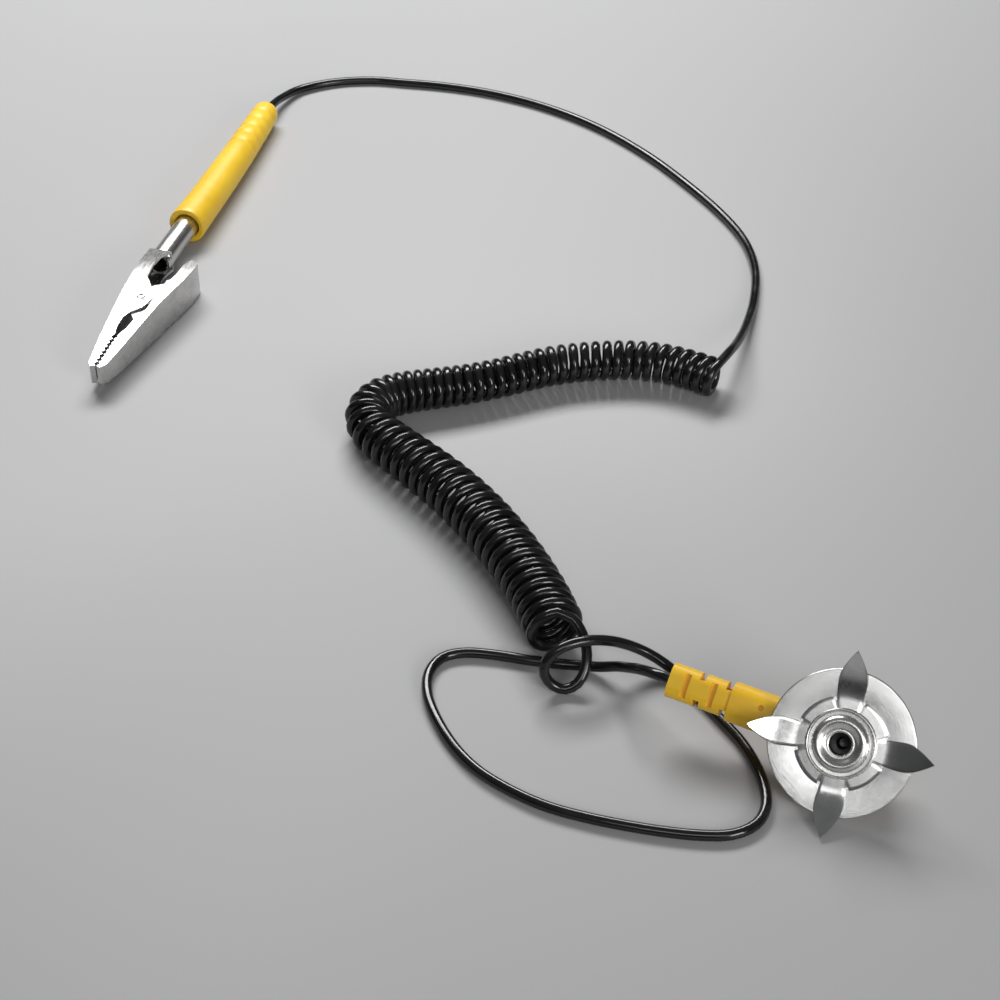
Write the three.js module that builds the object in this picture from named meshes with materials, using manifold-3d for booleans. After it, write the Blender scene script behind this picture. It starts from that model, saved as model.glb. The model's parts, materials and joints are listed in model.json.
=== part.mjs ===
// Grounding cord of an electrostatic-discharge wrist strap, laid out on a bench:
// crocodile clip with a push-on boot, straight lead, curly cord, straight lead, snap head
// with a series resistor inside, and the clawed stud disc that snaps into the head.
// Millimetres, +Z up. The bench is z = 0.
import * as THREE from 'three';
import { mergeVertices } from 'three/addons/utils/BufferGeometryUtils.js';
import Module from 'manifold-3d';

const wasm = await Module();
wasm.setup();

// ---------------------------------------------------------------- driving dimensions
const WIRE_DIAMETER = 2.1;

// Curly cord: its outer radius grows from the clip's end to the head's end, between these shares.
const COIL_START_RADIUS = 4.6;
const COIL_END_RADIUS = 6.05;
const COIL_GROWTH_START = 0.3;
const COIL_GROWTH_END = 0.8;

// Where the middle of the box round the clip and the head lies in the layout.
const LAYOUT_CENTRE = { x: -7.73, y: 32.07 };

// Crocodile clip. Its own frame: x towards the nose, y towards the lever jaw, z along the rivet.
const CLIP_PLACE = { x: -83.4, y: 64.2, z: 4.6 };
const CLIP_HEADING = -106.1;
const SHEET = 0.6;
const CLIP_HALF_WIDTH = 4.2;
const NOSE_HALF_WIDTH = 2.3;
const NOSE_X = 26.5;
const TAPER_START_X = 2;
const TOOTH_PITCH = 1.4;
const TOOTH_DEPTH = 0.6;
const TEETH = 8;
const RIVET_RADIUS = 0.85;
const RIVET_HOLE_RADIUS = 0.95;
const EAR_HALF_WIDTH = 3.3;
const EAR_END_X = 8.5;
const RIM_START_Y = 3.25;
const BARREL_RADIUS = 2.8;
const BARREL_WALL = 0.55;
const BARREL_Y = -4.2;
const BARREL_START_X = -19.5;
const BARREL_END_X = -45;
const SPRING_WIRE = 0.8;
const SPRING_RADIUS = 1.75;
const SPRING_TURNS = 4;
const SPRING_PITCH = 0.95;

// Boot over the clip's barrel.
const BOOT_MOUTH_X = -37;
const BOOT_LENGTH = 61;
const BOOT_MOUTH_RADIUS = 4.6;
const BOOT_WALL_CLEARANCE = 0.35;
const BOOT_SIDE_BEND = -1.8;
const BOOT_DROP = -0.95;

// Snap head. Its own frame: x towards the rounded end, z along the snap axis, y across.
const HEAD_PLACE = { x: 62.9, y: -79.8, z: 8.0 };
const SNAP_AZIMUTH = -20.1;
const SNAP_ELEVATION = 40.8;
const HEAD_ROLL = -5.9;
const HEAD_WIDTH = 7.6;
const HEAD_THICKNESS = 6.6;
const HEAD_CORNER_RADIUS = 2.6;
const HEAD_END_X = 8;
const BODY_START_X = -22;
const RELIEF_END_X = -34;
const RELIEF_WIDTH = 6.6;
const RELIEF_THICKNESS = 5.8;
const RELIEF_CORNER_RADIUS = 2.3;
const CORD_BORE_RADIUS = 1.35;
const FLEX_SLOT_WIDTH = 1.15;
const FLEX_SLOT_REACH = 2.3;
const FLEX_CORE = 1.95;
const FACE_SLOT_STATIONS = [2.8, 8];
const SIDE_SLOT_STATIONS = [5.5, 10.7];
const CAVITY = { start: -23.5, end: 0, halfWidth: 2.1, low: -1.9, high: 1.7 };
const SOCKET_POCKET_RADIUS = 3.45;
const PIN_HOLE = { x: -16, y: 0.9, radius: 0.55, depth: 1.2 };
const SOCKET_RADIUS = 3.1;
const SOCKET_MOUTH_RADIUS = 2.3;
const SOCKET_FLOOR = -1.3;
const SOCKET_TOP = 3.4;

// Stud disc, measured from the head's middle plane along the snap axis.
const DISC_RADIUS = 13.55;
const DISC_DISH_START_RADIUS = 8.7;
const DISC_DISH = 0.3;
const DISC_LOW = 4.35;
const DISC_HIGH = 4.8;
const CLAW_LOW = 5.05;
const CLAW_HIGH = 5.4;
const WASHER_LOW = 5.55;
const PLATE_HOLE_RADIUS = 2.75;
const CLAW_RING_RADIUS = 8.6;
const CLAW_TIP_RADIUS = 17.1;
const CLAW_HALF_WIDTH = 2.5;
const CLAW_RISE = 3.3;
const CLAW_PHASE = 7.4;
const CLAWS = 4;
const BEAD_RADIUS = 6.5;
const DOME_RADIUS = 5.25;
const EYELET_HOLE_RADIUS = 2.0;

const degrees = THREE.MathUtils.degToRad;

// ---------------------------------------------------------------- finishes
const finish = (colour, roughness, metalness) =>
  new THREE.MeshStandardMaterial({ color: colour, roughness, metalness });
const platedSteel = finish(0xd4d6d8, 0.22, 1);
const brushedSteel = finish(0xc9cbcc, 0.35, 1);
const springSteel = finish(0xb4b6b8, 0.3, 1);
const yellowVinyl = finish(0xf2c21c, 0.5, 0);
const blackVinyl = finish(0x141415, 0.35, 0);
const copper = finish(0xb86b3c, 0.35, 1);
const tinned = finish(0xc2c4c6, 0.4, 1);
const resistorPaint = finish(0x7fb6c9, 0.5, 0);

// ---------------------------------------------------------------- helpers
function toManifold(geometry) {
  const bare = geometry.clone();
  bare.deleteAttribute('normal');
  bare.deleteAttribute('uv');
  const merged = mergeVertices(bare, 1e-4);
  return new wasm.Manifold(new wasm.Mesh({
    numProp: 3,
    vertProperties: Float32Array.from(merged.attributes.position.array),
    triVerts: Uint32Array.from(merged.index.array),
  }));
}

function toGeometry(manifold) {
  const mesh = manifold.getMesh();
  const geometry = new THREE.BufferGeometry();
  geometry.setAttribute('position', new THREE.BufferAttribute(mesh.vertProperties, 3));
  geometry.setIndex(new THREE.BufferAttribute(mesh.triVerts, 1));
  geometry.computeVertexNormals();
  return geometry;
}

const joined = (...solids) => solids.reduce((all, solid) => all.add(solid));
const cut = (solid, ...tools) => tools.reduce((rest, tool) => rest.subtract(tool), solid);

function outline(points) {
  return new THREE.Shape(points.map(([x, y]) => new THREE.Vector2(x, y)));
}

// A plate with the given x-y outline between two heights.
function plate(shape, low, high, curveSegments = 12) {
  const options = { depth: high - low, bevelEnabled: false, curveSegments };
  const geometry = new THREE.ExtrudeGeometry(shape, options);
  geometry.translate(0, 0, low);
  return geometry;
}

// A block whose x-z outline is given, reaching far both ways along y.
function sidewaysPlate(points) {
  const geometry = plate(outline(points), -20, 20);
  geometry.rotateX(Math.PI / 2);
  return toManifold(geometry);
}

function box(x0, x1, y0, y1, z0, z1) {
  const geometry = new THREE.BoxGeometry(x1 - x0, y1 - y0, z1 - z0);
  geometry.translate((x0 + x1) / 2, (y0 + y1) / 2, (z0 + z1) / 2);
  return toManifold(geometry);
}

// A rod along z.
function rod(radius, low, high, sides = 28, x = 0, y = 0) {
  const geometry = new THREE.CylinderGeometry(radius, radius, high - low, sides);
  geometry.rotateX(Math.PI / 2);
  geometry.translate(x, y, (low + high) / 2);
  return toManifold(geometry);
}

// A rod along x.
function rodAlongX(radius, x0, x1, y = 0, z = 0, sides = 28) {
  const geometry = new THREE.CylinderGeometry(radius, radius, x1 - x0, sides);
  geometry.rotateZ(Math.PI / 2);
  geometry.translate((x0 + x1) / 2, y, z);
  return toManifold(geometry);
}

// A solid of revolution about z from [radius, height] points, taken in either order.
function turned(points, segments = 40) {
  const profile = points.map(([radius, height]) => new THREE.Vector2(radius, height));
  if (THREE.ShapeUtils.area(profile) < 0) profile.reverse();
  const geometry = new THREE.LatheGeometry(profile, segments);
  geometry.rotateX(Math.PI / 2);
  return geometry;
}

// A solid of revolution about the head's long axis, centred at x.
function turnedAlongX(points, x) {
  const geometry = turned([...points], 24);
  geometry.rotateY(Math.PI / 2);
  geometry.translate(x, 0, 0);
  return geometry;
}

function circleShape(radius, sides) {
  const points = [];
  for (let i = 0; i < sides; i += 1) {
    const angle = (2 * Math.PI * i) / sides;
    points.push([radius * Math.cos(angle), radius * Math.sin(angle)]);
  }
  return outline(points);
}

// A round tube of wire or cord along a curve.
function tube(curve, radius, sides, steps) {
  const options = { extrudePath: curve, steps, bevelEnabled: false };
  return new THREE.ExtrudeGeometry(circleShape(radius, sides), options);
}

function smoothCurve(points) {
  const vectors = points.map(([x, y, z]) => new THREE.Vector3(x, y, z));
  return new THREE.CatmullRomCurve3(vectors, false, 'catmullrom', 0.5);
}

const part = new THREE.Group();
const layout = new THREE.Group();
layout.position.set(-LAYOUT_CENTRE.x, -LAYOUT_CENTRE.y, 0);
part.add(layout);

function place(group, name, geometry, material) {
  const mesh = new THREE.Mesh(geometry, material);
  mesh.name = name;
  group.add(mesh);
}

// ---------------------------------------------------------------- crocodile clip
const clip = new THREE.Group();
clip.position.set(CLIP_PLACE.x, CLIP_PLACE.y, CLIP_PLACE.z);
clip.rotation.z = degrees(CLIP_HEADING);
layout.add(clip);

// Teeth along a jaw's edge, from the nose back. side is -1 for the fixed jaw, 1 for the lever.
function teeth(side) {
  const points = [];
  for (let i = 0; i < TEETH; i += 1) {
    const x = NOSE_X - 0.4 - i * TOOTH_PITCH;
    points.push([x, side * 0.15]);
    points.push([x - TOOTH_PITCH / 2, side * (0.15 + TOOTH_DEPTH)]);
  }
  return points;
}

// The plan taper of a jaw, as an x-z outline of half width `rear` narrowing to `nose`.
function taper(rear, nose, tail, tailHalfWidth) {
  return [
    [NOSE_X + 1, -nose], [NOSE_X + 1, nose],
    [TAPER_START_X, rear], [-13, rear], [tail, tailHalfWidth],
    [tail, -tailHalfWidth], [-13, -rear], [TAPER_START_X, -rear],
  ];
}

const fixedBack = [[-21.5, -7], [-14, -6.4], [-8, -5.9], [3, -4.7], [16, -3.3], [25.3, -2]];
const fixedFront = [
  [14.6, -0.3], [12, -0.9], [8.4, -0.9], [6.2, -0.1], [4, 1.9], [2.2, 2.6], [0, 2.9], [-1.9, 2.2],
  [-6.5, -0.6], [-8, -1.9], [-13, -2.5], [-18, -2.7], [-20, -2.1], [-21.5, -1.4],
];

function fixedJaw() {
  const outer = toManifold(plate(outline([
    ...fixedBack, [NOSE_X, -1.2], ...teeth(-1), ...fixedFront,
  ]), -10, 10));
  const inner = toManifold(plate(outline([
    ...fixedBack.map(([x, y]) => [Math.min(x, NOSE_X - 1.5), y + SHEET]),
    [NOSE_X - SHEET, -0.9], [NOSE_X - SHEET, 8], [-20.8, 8],
  ]), -10, 10));
  const outerTaper = taper(CLIP_HALF_WIDTH, NOSE_HALF_WIDTH, -21.5, BARREL_RADIUS);
  const innerTaper = taper(
    CLIP_HALF_WIDTH - SHEET, NOSE_HALF_WIDTH - SHEET, -21.5, BARREL_RADIUS - SHEET);
  const channel = cut(
    outer.intersect(sidewaysPlate(outerTaper)),
    inner.intersect(sidewaysPlate(innerTaper)),
  );
  const barrel = rodAlongX(BARREL_RADIUS, BARREL_END_X, BARREL_START_X, BARREL_Y);
  const bore = rodAlongX(BARREL_RADIUS - BARREL_WALL, BARREL_END_X - 1, -18, BARREL_Y);
  return cut(joined(channel, barrel), bore, rod(RIVET_HOLE_RADIUS, -10, 10));
}

const leverBack = [[25, 2.2], [20, 3], [10, 4.2], [0, 5.6], [-8, 6.9], [-13, 7.5], [-16.5, 7.4]];
const leverEnd = [[-18, 6.6], [-18.3, 5.6], [-17.4, 4.8]];
const leverFront = [
  [-14.5, 4.4], [-11, 4.4], [-8.2, 3.9], [-6.2, 0.8], [-3.4, -2], [0, -2.8], [3.4, -2],
  [6.4, 0.3], [8.6, 1.9], [12, 1.5], [14.6, 0.5],
];

function leverJaw() {
  const outer = toManifold(plate(outline([
    [NOSE_X, 1.2], ...leverBack, ...leverEnd, ...leverFront, ...teeth(1).reverse(),
  ]), -10, 10));
  const inner = toManifold(plate(outline([
    [NOSE_X - SHEET, 0.9], [24, 1.8],
    ...leverBack.slice(1, -1).map(([x, y]) => [x, y - SHEET]), [-16.4, 6.7],
    [-17.4, 6.3], [-17.6, -8], [NOSE_X - SHEET, -8],
  ]), -10, 10));
  const hollow = (rear, nose) => cut(
    outer.intersect(sidewaysPlate(taper(rear, nose, -20, rear - 0.6))),
    inner.intersect(sidewaysPlate(taper(rear - SHEET, nose - SHEET, -20, rear - 0.6 - SHEET))),
  );
  const wide = hollow(CLIP_HALF_WIDTH, NOSE_HALF_WIDTH);
  const front = wide.intersect(box(EAR_END_X - 0.5, 30, -10, 10, -10, 10));
  const rim = wide.intersect(box(-30, EAR_END_X, RIM_START_Y, 10, -10, 10));
  const narrow = hollow(EAR_HALF_WIDTH, EAR_HALF_WIDTH);
  const ears = narrow.intersect(box(-30, EAR_END_X, -10, 10, -10, 10));
  return cut(joined(front, rim, ears), rod(RIVET_HOLE_RADIUS, -10, 10));
}

function torsionSpring() {
  const half = (SPRING_TURNS * SPRING_PITCH) / 2 + SPRING_PITCH / 4;
  const points = [[-11, -4.7, -half], [-7, -3.4, -half], [-3.2, -2.2, -half]];
  const perTurn = 12;
  const total = perTurn * SPRING_TURNS + perTurn / 2;
  for (let i = 0; i <= total; i += 1) {
    const angle = -Math.PI / 2 + (2 * Math.PI * i) / perTurn;
    const x = SPRING_RADIUS * Math.cos(angle);
    const y = SPRING_RADIUS * Math.sin(angle);
    points.push([x, y, -half + (2 * half * i) / total]);
  }
  points.push([-3.2, 2.6, half], [-7, 4.4, half], [-10.5, 5.9, half]);
  return tube(smoothCurve(points), SPRING_WIRE / 2, 6, 84);
}

// Outside and inside of the boot as [radius, distance from the mouth].
function bootGeometry() {
  const barrelBore = BARREL_RADIUS + BOOT_WALL_CLEARANCE;
  const wireBore = WIRE_DIAMETER / 2 + BOOT_WALL_CLEARANCE;
  const profile = [
    [BOOT_MOUTH_RADIUS - 0.3, 0], [BOOT_MOUTH_RADIUS, 0.6], [4.4, 10], [4.2, 25], [4, 37],
    [3.75, 47], [3.55, 55], [3.3, 59.2], [2.7, BOOT_LENGTH],
    [wireBore, BOOT_LENGTH], [wireBore, 45], [wireBore, 30], [wireBore, 13],
    [barrelBore, 9.5], [barrelBore, 4], [BOOT_MOUTH_RADIUS - 0.9, 0],
  ];
  const geometry = turned([...profile, profile[0]], 24);
  const position = geometry.attributes.position;
  for (let i = 0; i < position.count; i += 1) {
    const across = position.getX(i);
    const up = position.getY(i);
    const along = position.getZ(i);
    const share = along / BOOT_LENGTH;
    position.setXYZ(
      i,
      BOOT_MOUTH_X - along,
      BARREL_Y - across + BOOT_SIDE_BEND * share * share,
      up + BOOT_DROP * share,
    );
  }
  return toGeometry(toManifold(geometry));
}

place(clip, 'fixed_jaw', toGeometry(fixedJaw()), platedSteel);
place(clip, 'lever_jaw', toGeometry(leverJaw()), platedSteel);
const rivet = rod(RIVET_RADIUS, -CLIP_HALF_WIDTH, CLIP_HALF_WIDTH, 20);
place(clip, 'pivot_rivet', toGeometry(rivet), brushedSteel);
place(clip, 'torsion_spring', torsionSpring(), springSteel);
place(clip, 'clip_boot', bootGeometry(), yellowVinyl);
place(clip, 'clip_conductor', toGeometry(rodAlongX(0.55, -45.5, -34, BARREL_Y, 0, 12)), copper);

// ---------------------------------------------------------------- snap head and stud disc
const azimuth = degrees(SNAP_AZIMUTH);
const elevation = degrees(SNAP_ELEVATION);
const snapAxis = new THREE.Vector3(
  Math.cos(elevation) * Math.sin(azimuth),
  -Math.cos(elevation) * Math.cos(azimuth),
  Math.sin(elevation),
);
const level = new THREE.Vector3(0, 0, 1).cross(snapAxis).normalize();
const headX = level.clone().applyAxisAngle(snapAxis, degrees(HEAD_ROLL));
const headY = snapAxis.clone().cross(headX);
const head = new THREE.Group();
head.position.set(HEAD_PLACE.x, HEAD_PLACE.y, HEAD_PLACE.z);
head.quaternion.setFromRotationMatrix(new THREE.Matrix4().makeBasis(headX, headY, snapAxis));
layout.add(head);

// A bar along x with a rounded-rectangle section.
function roundedBar(width, thickness, radius, x0, x1) {
  const shape = new THREE.Shape();
  const y = width / 2 - radius;
  const z = thickness / 2 - radius;
  shape.absarc(y, z, radius, 0, Math.PI / 2);
  shape.absarc(-y, z, radius, Math.PI / 2, Math.PI);
  shape.absarc(-y, -z, radius, Math.PI, 1.5 * Math.PI);
  shape.absarc(y, -z, radius, 1.5 * Math.PI, 2 * Math.PI);
  const geometry = plate(shape, x0, x1, 4);
  geometry.applyMatrix4(new THREE.Matrix4().makeBasis(
    new THREE.Vector3(0, 1, 0), new THREE.Vector3(0, 0, 1), new THREE.Vector3(1, 0, 0)));
  return toManifold(geometry);
}

function headShell() {
  const body = roundedBar(
    HEAD_WIDTH, HEAD_THICKNESS, HEAD_CORNER_RADIUS, BODY_START_X, HEAD_END_X);
  const relief = roundedBar(
    RELIEF_WIDTH, RELIEF_THICKNESS, RELIEF_CORNER_RADIUS, RELIEF_END_X, BODY_START_X + 1);
  const slots = [];
  const far = 6;
  for (const station of FACE_SLOT_STATIONS) {
    const x = RELIEF_END_X + station;
    slots.push(box(x, x + FLEX_SLOT_WIDTH, -FLEX_SLOT_REACH, FLEX_SLOT_REACH, FLEX_CORE, far));
    slots.push(box(x, x + FLEX_SLOT_WIDTH, -FLEX_SLOT_REACH, FLEX_SLOT_REACH, -far, -FLEX_CORE));
  }
  for (const station of SIDE_SLOT_STATIONS) {
    const x = RELIEF_END_X + station;
    slots.push(box(x, x + FLEX_SLOT_WIDTH, FLEX_CORE, far, -far, far));
    slots.push(box(x, x + FLEX_SLOT_WIDTH, -far, -FLEX_CORE, -far, far));
  }
  return cut(
    joined(body, relief),
    ...slots,
    rodAlongX(CORD_BORE_RADIUS, RELIEF_END_X - 1, CAVITY.start + 0.5, 0, 0, 20),
    box(CAVITY.start, CAVITY.end, -CAVITY.halfWidth, CAVITY.halfWidth, CAVITY.low, CAVITY.high),
    rod(SOCKET_POCKET_RADIUS, CAVITY.low, far, 32),
    rod(PIN_HOLE.radius, HEAD_THICKNESS / 2 - PIN_HOLE.depth, far, 12, PIN_HOLE.x, PIN_HOLE.y),
  );
}

function snapSocket() {
  const wall = 0.4;
  const rivetHole = 0.85;
  return turned([
    [rivetHole, SOCKET_FLOOR], [SOCKET_RADIUS, SOCKET_FLOOR], [SOCKET_RADIUS, SOCKET_TOP],
    [SOCKET_MOUTH_RADIUS, SOCKET_TOP], [SOCKET_MOUTH_RADIUS, SOCKET_TOP - 0.35],
    [SOCKET_RADIUS - wall, SOCKET_TOP - 0.35], [SOCKET_RADIUS - wall, SOCKET_FLOOR + wall],
    [rivetHole, SOCKET_FLOOR + wall], [rivetHole, SOCKET_FLOOR],
  ], 32);
}

// A split ring of spring wire in the socket's groove.
function ringSpring() {
  const points = [];
  for (let i = 0; i <= 20; i += 1) {
    const angle = degrees(20 + 16 * i);
    points.push([2.2 * Math.cos(angle), 2.2 * Math.sin(angle), 2.1]);
  }
  return tube(smoothCurve(points), 0.22, 6, 40);
}

function socketRivet() {
  return turned([
    [0, -1.75], [1.2, -1.75], [1.2, -1.6], [0.7, -1.6], [0.7, -0.8], [1.3, -0.8],
    [1.3, -0.5], [0, -0.5],
  ], 24);
}

// The tab under the socket that carries the resistor's lead.
function solderTab() {
  const ring = cut(rod(2.3, -1.55, -1.35, 28), rod(0.85, -3, 3, 20));
  const strip = box(-7, -1.6, -0.9, 0.9, -1.55, -1.35);
  const upright = box(-7, -6.7, -0.9, 0.9, -1.55, 0.9);
  return joined(ring, strip, upright);
}

place(head, 'head_shell', toGeometry(headShell()), yellowVinyl);
place(head, 'head_conductor', toGeometry(rodAlongX(0.5, -24.2, -21.9, 0, 0, 12)), copper);
place(head, 'crimp_ferrule', toGeometry(cut(
  rodAlongX(1.25, -23, -19, 0, 0, 20), rodAlongX(0.85, -24, -18, 0, 0, 20))), tinned);
place(head, 'resistor_lead_in', toGeometry(rodAlongX(0.3, -21.5, -17.5, 0, 0, 10)), tinned);
place(head, 'resistor_body', turnedAlongX([
  [0, -3.3], [0.9, -3.3], [1.25, -2.8], [1.25, -1.9], [1.05, -1.5], [1.05, 1.5], [1.25, 1.9],
  [1.25, 2.8], [0.9, 3.3], [0, 3.3],
], -13.9), resistorPaint);
place(head, 'resistor_lead_out', toGeometry(rodAlongX(0.3, -10.3, -7.3, 0, 0, 10)), tinned);
place(head, 'solder_tab', toGeometry(solderTab()), tinned);
place(head, 'snap_socket', snapSocket(), platedSteel);
place(head, 'socket_ring_spring', ringSpring(), springSteel);
place(head, 'socket_rivet', socketRivet(), platedSteel);

// Hollow drawn stud: a flange behind the disc, a neck and a ball.
function studPost() {
  return turned([
    [1.6, 4.05], [4.6, 4.05], [4.6, 3.75], [1.45, 3.75], [1.45, 2.5], [1.75, 2.1], [1.8, 1.5],
    [1.6, 0.7], [1.1, 0.2], [0, 0.2], [0, 0.6], [0.9, 0.7], [1.1, 1.3], [1.1, 3.8], [1.6, 4.05],
  ], 32);
}

function washer(outer, inner, low, high) {
  return turned([[inner, low], [outer, low], [outer, high], [inner, high], [inner, low]], 56);
}

// The big disc: flat in the middle, with a shallow dished rim.
function contactDisc() {
  return turned([
    [PLATE_HOLE_RADIUS, DISC_LOW], [DISC_DISH_START_RADIUS, DISC_LOW],
    [DISC_RADIUS, DISC_LOW + DISC_DISH], [DISC_RADIUS, DISC_HIGH + DISC_DISH],
    [DISC_DISH_START_RADIUS, DISC_HIGH], [PLATE_HOLE_RADIUS, DISC_HIGH],
    [PLATE_HOLE_RADIUS, DISC_LOW],
  ], 56);
}

// One claw: a leaf that leaves the ring flat and curves away from the disc.
function clawOutline() {
  const shape = new THREE.Shape();
  shape.moveTo(CLAW_RING_RADIUS - 1.2, -CLAW_HALF_WIDTH);
  shape.lineTo(11.5, -CLAW_HALF_WIDTH);
  shape.quadraticCurveTo(15, -2.2, CLAW_TIP_RADIUS, 0);
  shape.quadraticCurveTo(15, 2.2, 11.5, CLAW_HALF_WIDTH);
  shape.lineTo(CLAW_RING_RADIUS - 1.2, CLAW_HALF_WIDTH);
  return shape;
}

function clawPlate() {
  const leaf = toManifold(plate(clawOutline(), CLAW_LOW, CLAW_HIGH, 4)).refineToLength(2.6);
  const lift = (vertex) => {
    const share = Math.max(0, vertex[0] - CLAW_RING_RADIUS) / (CLAW_TIP_RADIUS - CLAW_RING_RADIUS);
    vertex[2] += CLAW_RISE * share ** 1.5;
  };
  const claw = leaf.warp(lift);
  let body = toManifold(washer(CLAW_RING_RADIUS, PLATE_HOLE_RADIUS, CLAW_LOW, CLAW_HIGH));
  for (let i = 0; i < CLAWS; i += 1) {
    body = body.add(claw.rotate([0, 0, CLAW_PHASE + (360 * i) / CLAWS]));
  }
  return body.subtract(rod(PLATE_HOLE_RADIUS, 0, 10, 56));
}

function beadWasher() {
  return turned([
    [PLATE_HOLE_RADIUS, WASHER_LOW], [BEAD_RADIUS, WASHER_LOW], [BEAD_RADIUS, WASHER_LOW + 0.4],
    [BEAD_RADIUS - 0.4, WASHER_LOW + 0.5], [BEAD_RADIUS - 0.8, WASHER_LOW + 0.3],
    [PLATE_HOLE_RADIUS, WASHER_LOW + 0.3], [PLATE_HOLE_RADIUS, WASHER_LOW],
  ], 48);
}

// The rolled eyelet: an outer lip, a domed crown, a dished middle and a barrel through the plates.
function studEyelet() {
  return turned([
    [DOME_RADIUS, 6], [DOME_RADIUS - 0.1, 6.6], [DOME_RADIUS - 0.5, 7.2], [4.1, 7.45],
    [3.3, 7.25], [2.5, 6.9], [2.1, 6.6], [EYELET_HOLE_RADIUS, 6.2], [EYELET_HOLE_RADIUS, 4.25],
    [2.4, 4.25], [2.4, 6.3], [2.8, 6.6], [3.4, 6.9], [4.1, 7.1], [4.6, 6.9], [4.9, 6.4],
    [4.95, 6], [DOME_RADIUS, 6],
  ], 30);
}

place(head, 'stud_post', studPost(), platedSteel);
place(head, 'contact_disc', contactDisc(), brushedSteel);
place(head, 'claw_plate', toGeometry(clawPlate()), brushedSteel);
place(head, 'bead_washer', beadWasher(), platedSteel);
place(head, 'stud_eyelet', studEyelet(), platedSteel);

// ---------------------------------------------------------------- cord
const wireRadius = WIRE_DIAMETER / 2;

// Middle line of the curly cord in plan, from the clip's end to the head's end.
const coilPlan = [
  [48.5, 37.5], [42.5, 41], [36, 43.5], [29, 44.5], [20.5, 44], [12.5, 42.5], [5.5, 40], [-0.5, 37.5],
  [-7.5, 35.2], [-14, 33.6], [-20.4, 32], [-26, 29.2], [-28.8, 24], [-27.6, 17.8], [-23.2, 11.8],
  [-17.4, 5], [-10.4, -3.6], [-3.2, -14.4], [3, -26], [7.8, -37.6], [11, -47.8],
];

// Free lead from the boot to the coil.
const clipLeadRoute = [
  [-60.6, 164.5, 3.3], [-58.8, 169.5, 2.3], [-54.7, 175.6, 1.4], [-48, 179.3, 1.15],
  [-41, 181, wireRadius], [-34, 181.2, wireRadius], [-27.5, 180.2, wireRadius],
  [-13.5, 177.6, wireRadius], [0, 173, wireRadius], [13.5, 165.6, wireRadius],
  [26.5, 155, wireRadius], [38.5, 141, wireRadius], [48.5, 125.5, wireRadius],
  [56, 111.5, wireRadius], [60.4, 99.5, wireRadius], [61.8, 87, 1.15], [60.4, 74, 1.4],
  [57.6, 62, 2.6], [54.4, 51, 5.2], [51.5, 43.2, 7.6],
];

// Free lead from the coil to the head: one open turn, under the head, round a loop, under the
// open turn and up into the head.
const headLeadRoute = [
  [14, -48.9, 10.3], [15.4, -50.4, 9.1], [16.3, -52.2, 7.7], [16.7, -54.4, 6.1],
  [16.3, -56.6, 4.1], [14.9, -58.3, 2.2], [12.5, -58.9, 1.2], [10.1, -58.7, 2.1],
  [8.5, -58.2, 4.4], [8.7, -57.6, 7.1], [10.7, -56.9, 9.3], [13.7, -55.9, 10.3],
  [17.6, -54.5, 9.9], [21.5, -52.9, 8.2], [25.1, -51.9, 6.1], [28.6, -51.9, 4.1],
  [31.8, -53.2, 2.6], [34.8, -56, 1.6], [38.2, -61, wireRadius], [41.4, -66.4, wireRadius],
  [45, -72.6, wireRadius], [47.2, -78.4, wireRadius], [48.4, -84, wireRadius],
  [48.2, -89.4, wireRadius], [46, -93.6, wireRadius], [41.6, -96, wireRadius],
  [35.8, -96.2, wireRadius], [28.7, -95.2, wireRadius], [21.6, -93.6, wireRadius],
  [15.3, -91.8, wireRadius], [8.9, -89.4, wireRadius], [2.7, -85.8, wireRadius],
  [-3.5, -80.8, wireRadius], [-8, -75, wireRadius], [-11.5, -68, wireRadius],
  [-13.8, -60.6, wireRadius], [-13.8, -54.4, wireRadius], [-11.4, -50, wireRadius],
  [-6.8, -48.5, wireRadius], [-0.6, -49.2, wireRadius], [5.4, -50.6, wireRadius],
  [11, -51.6, wireRadius], [15.6, -52.2, 1.1], [19.3, -53.6, 2.1], [22.4, -55.6, 4.1],
  [25, -59, 6.9], [27, -62.2, 9.4],
];

// The coil's outer radius at a share of its length.
const coilRadiusAt = (share) => THREE.MathUtils.lerp(
  COIL_START_RADIUS, COIL_END_RADIUS,
  THREE.MathUtils.smoothstep(share, COIL_GROWTH_START, COIL_GROWTH_END));

// The coil as one closed tube of its outer shape, lying on the bench.
function coilGeometry(sides, steps) {
  const plan = smoothCurve(coilPlan.map(([x, y]) => [x, y, 0]));
  const positions = [];
  const indices = [];
  for (let i = 0; i <= steps; i += 1) {
    const radius = coilRadiusAt(i / steps);
    const centre = plan.getPointAt(i / steps).setZ(radius);
    const along = plan.getTangentAt(i / steps);
    for (let j = 0; j < sides; j += 1) {
      const angle = (2 * Math.PI * j) / sides;
      const across = radius * Math.cos(angle);
      positions.push(centre.x - along.y * across, centre.y + along.x * across);
      positions.push(centre.z + radius * Math.sin(angle));
    }
  }
  const ring = (i, j) => i * sides + (j % sides);
  for (let j = 0; j < sides; j += 1) {
    for (let i = 0; i < steps; i += 1) {
      indices.push(ring(i, j), ring(i, j + 1), ring(i + 1, j));
      indices.push(ring(i, j + 1), ring(i + 1, j + 1), ring(i + 1, j));
    }
    if (j > 0 && j < sides - 1) {
      indices.push(ring(0, 0), ring(0, j + 1), ring(0, j));
      indices.push(ring(steps, 0), ring(steps, j), ring(steps, j + 1));
    }
  }
  const geometry = new THREE.BufferGeometry();
  geometry.setAttribute('position', new THREE.Float32BufferAttribute(positions, 3));
  geometry.setIndex(indices);
  return geometry;
}

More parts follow.
